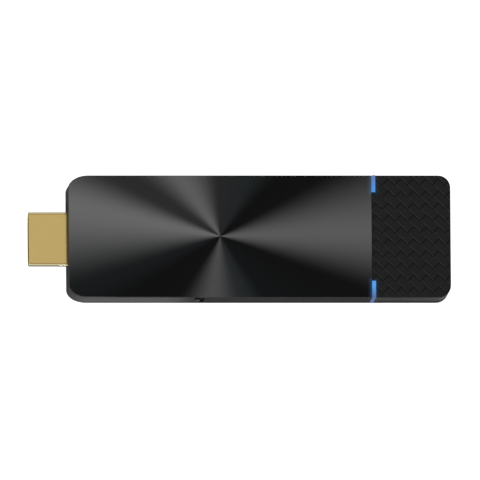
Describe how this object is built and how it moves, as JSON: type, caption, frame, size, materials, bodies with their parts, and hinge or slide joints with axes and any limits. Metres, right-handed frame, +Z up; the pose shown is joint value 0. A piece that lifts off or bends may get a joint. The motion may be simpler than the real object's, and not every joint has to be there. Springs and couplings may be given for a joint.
{
  "type": "streaming media player",
  "caption": "Flat stick-shaped media player: gold display plug, spun black top, textured end cover, two blue light lines, a side push key and a power socket.",
  "frame": {"origin": "middle of the whole outline, plug included, on the underside of the casing", "axes": "+X from the display plug to the power socket, +Y across the stick away from the push key, +Z up through the spun top plate"},
  "size_m": [0.1084, 0.0318, 0.0126],
  "materials": {
    "spun_black_metal": "black anodised, spun about its centre, bright",
    "casing_grey": "fine satin moulding grain",
    "cover_black": "satin, with a fine pattern of tilted lozenges",
    "blue_light": "translucent diffuser, lit blue",
    "label_black": "smooth blank film",
    "key_grey": "satin",
    "screw_steel": "black zinc",
    "gold_plate": "satin gold-coloured plating",
    "connector_black": "moulded liquid-crystal polymer",
    "contact_gold": "bright plating",
    "tinned_steel": "tin-plated, stamped",
    "socket_steel": "nickel-plated, deep-drawn",
    "plunger_white": "smooth",
    "board_green": "solder mask over copper traces",
    "chip_black": "moulded epoxy",
    "part_tan": "sintered, with tinned ends",
    "part_black": "thick film, with tinned ends",
    "coil_grey": "pressed ferrite",
    "crystal_can": "seam-welded can",
    "pad_blue": "soft silicone, heat conducting",
    "glue_film": "double-sided film",
    "spreader_aluminium": "plain sheet",
    "aerial_copper": "copper foil",
    "lead_black": "extruded jacket",
    "lamp_white": "clear lamp body"
  },
  "bodies": {
    "casing": {"lower_shell": "casing_grey", "upper_shell": "casing_grey", "rear_cover": "cover_black", "top_plate": "spun_black_metal", "plate_adhesive": "glue_film", "light_guide_near": "blue_light", "light_guide_far": "blue_light", "rating_label": "label_black", "case_screws": "screw_steel", "plug_shell": "gold_plate", "plug_block": "connector_black", "plug_pins_upper": "contact_gold", "plug_pins_lower": "contact_gold", "plug_bracket": "tinned_steel", "socket_shell": "socket_steel", "socket_tongue": "connector_black", "socket_pins": "contact_gold", "switch_body": "connector_black", "switch_bracket": "tinned_steel", "main_board": "board_green", "processor": "chip_black", "memory_chips": "chip_black", "storage_chip": "chip_black", "power_chip": "chip_black", "power_coils": "coil_grey", "capacitors": "part_tan", "resistors": "part_black", "clock_crystal": "crystal_can", "shield_frame": "tinned_steel", "shield_lid": "tinned_steel", "chip_pad": "pad_blue", "spreader_pad": "pad_blue", "heat_spreader": "spreader_aluminium", "radio_module": "tinned_steel", "aerial_near": "aerial_copper", "aerial_far": "aerial_copper", "aerial_lead_near": "lead_black", "aerial_lead_far": "lead_black", "aerial_plug_near": "contact_gold", "aerial_plug_far": "contact_gold", "led_near": "lamp_white", "led_far": "lamp_white"},
    "key": {"push_key": "key_grey", "switch_plunger": "plunger_white"}
  },
  "joints": [
    {"name": "key_press", "type": "slide", "parent": "casing", "child": "key", "axis": [0, 1, 0], "range_m": [0, 0.0003], "stiffness_N_per_m": 800, "springref_m": -0.0005}
  ]
}
